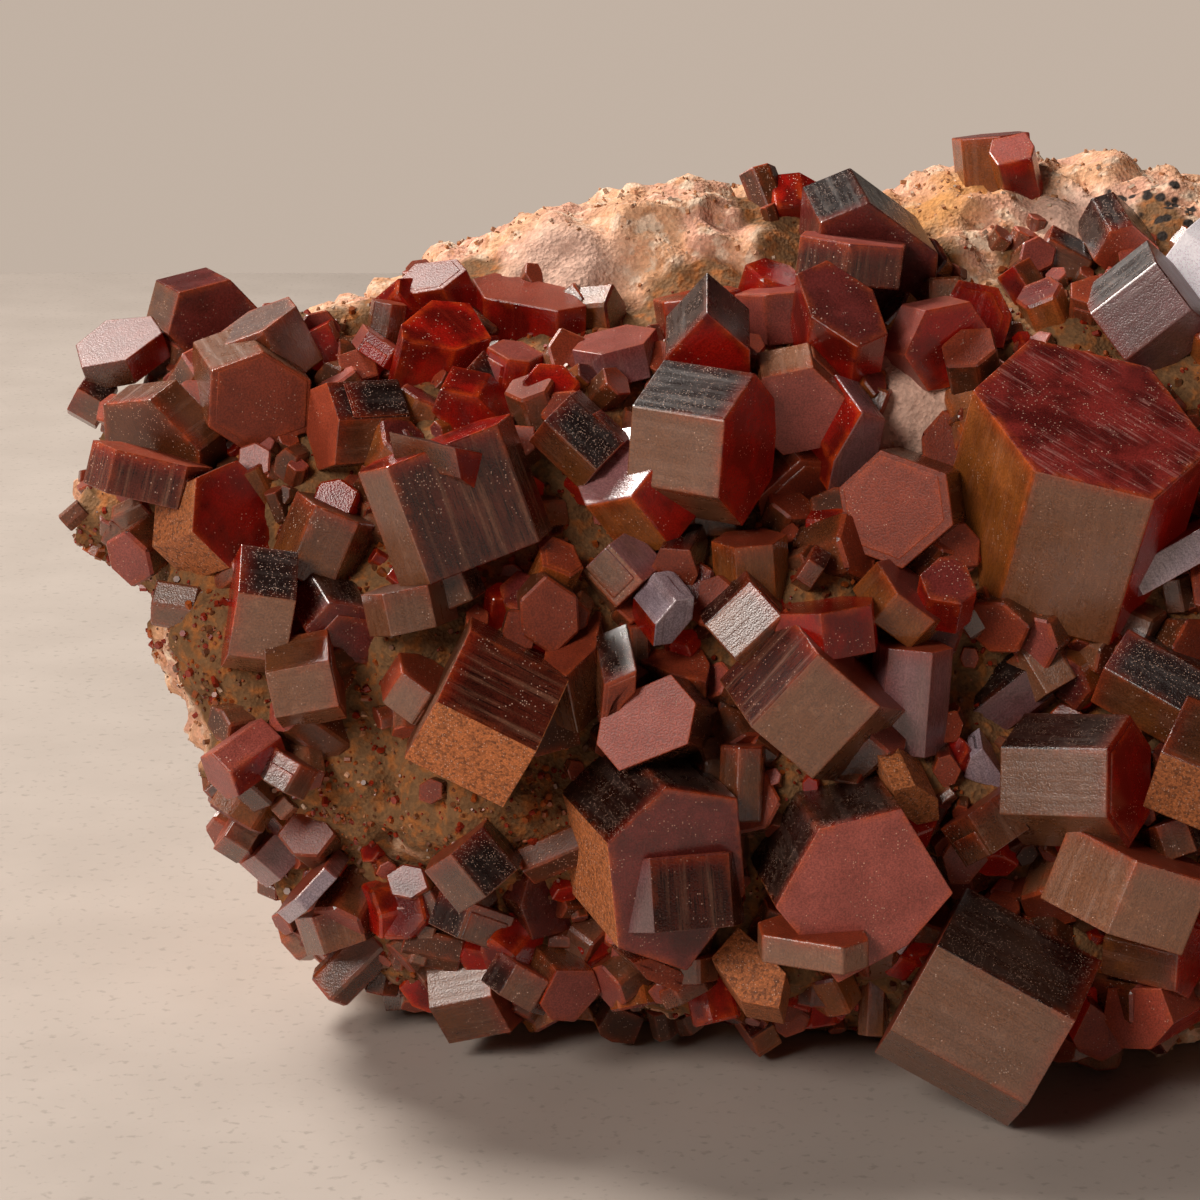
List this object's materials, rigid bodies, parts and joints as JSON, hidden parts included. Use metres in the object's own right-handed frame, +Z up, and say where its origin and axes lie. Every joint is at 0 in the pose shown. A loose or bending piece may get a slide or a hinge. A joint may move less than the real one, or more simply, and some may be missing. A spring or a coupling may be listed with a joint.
{
  "type": "vanadinite on matrix",
  "caption": "Hand-sized mineral specimen: stubby six-sided brick-red to brown vanadinite prisms crowded over the front of a rough sandy stone with a flat underside.",
  "frame": {"origin": "middle of the specimen's box, on the surface it rests on", "axes": "+X to the right along the specimen's longest side, +Y to the back, +Z up; the crystals face -Y"},
  "size_m": [0.1168, 0.0716, 0.0674],
  "materials": {
    "vanadinite": "satin to glassy faces, brick red end faces and brown dusty sides",
    "matrix": "rough, sandy and matt"
  },
  "bodies": {
    "root": {"crystal_big_mauve_end": "vanadinite", "crystal_big_red_end": "vanadinite", "crystal_black_topped_box": "vanadinite", "crystal_bottom_crystal": "vanadinite", "crystal_box_left": "vanadinite", "crystal_box_lower_left": "vanadinite", "crystal_box_upper_left": "vanadinite", "crystal_brown_pair": "vanadinite", "crystal_dark_beside_streaked": "vanadinite", "crystal_dark_red_block": "vanadinite", "crystal_dark_red_end": "vanadinite", "crystal_dark_sparkle": "vanadinite", "crystal_dark_striped": "vanadinite", "crystal_dark_under_crown": "vanadinite", "crystal_deep_red": "vanadinite", "crystal_glint_box": "vanadinite", "crystal_glitter_red": "vanadinite", "crystal_granular_lower": "vanadinite", "crystal_granular_right": "vanadinite", "crystal_grey_slab": "vanadinite", "crystal_grey_top_right": "vanadinite", "crystal_largest": "vanadinite", "crystal_lilac_bar": "vanadinite", "crystal_lilac_wedge": "vanadinite", "crystal_long_tan": "vanadinite", "crystal_maroon_crown": "vanadinite", "crystal_mauve_and_red": "vanadinite", "crystal_mauve_shoulder": "vanadinite", "crystal_mauve_small": "vanadinite", "crystal_mauve_trunk": "vanadinite", "crystal_orange_end": "vanadinite", "crystal_orange_red": "vanadinite", "crystal_orange_small": "vanadinite", "crystal_pink_end": "vanadinite", "crystal_pink_top": "vanadinite", "crystal_purple_end": "vanadinite", "crystal_red_behind": "vanadinite", "crystal_red_roof": "vanadinite", "crystal_red_sided_box": "vanadinite", "crystal_ridge_prism": "vanadinite", "crystal_right_end_10": "vanadinite", "crystal_right_end_12": "vanadinite", "crystal_right_end_13": "vanadinite", "crystal_right_end_18": "vanadinite", "crystal_right_end_2": "vanadinite", "crystal_right_end_21": "vanadinite", "crystal_right_end_23": "vanadinite", "crystal_right_end_24": "vanadinite", "crystal_right_end_25": "vanadinite", "crystal_right_end_26": "vanadinite", "crystal_right_end_27": "vanadinite", "crystal_right_end_5": "vanadinite", "crystal_rose_end": "vanadinite", "crystal_salmon_end": "vanadinite", "crystal_small_red_end": "vanadinite", "crystal_sparkle_box": "vanadinite", "crystal_streaked_middle": "vanadinite", "crystal_striped_slab": "vanadinite", "crystal_tall_back_prism": "vanadinite", "matrix": "matrix"}
  },
  "joints": []
}
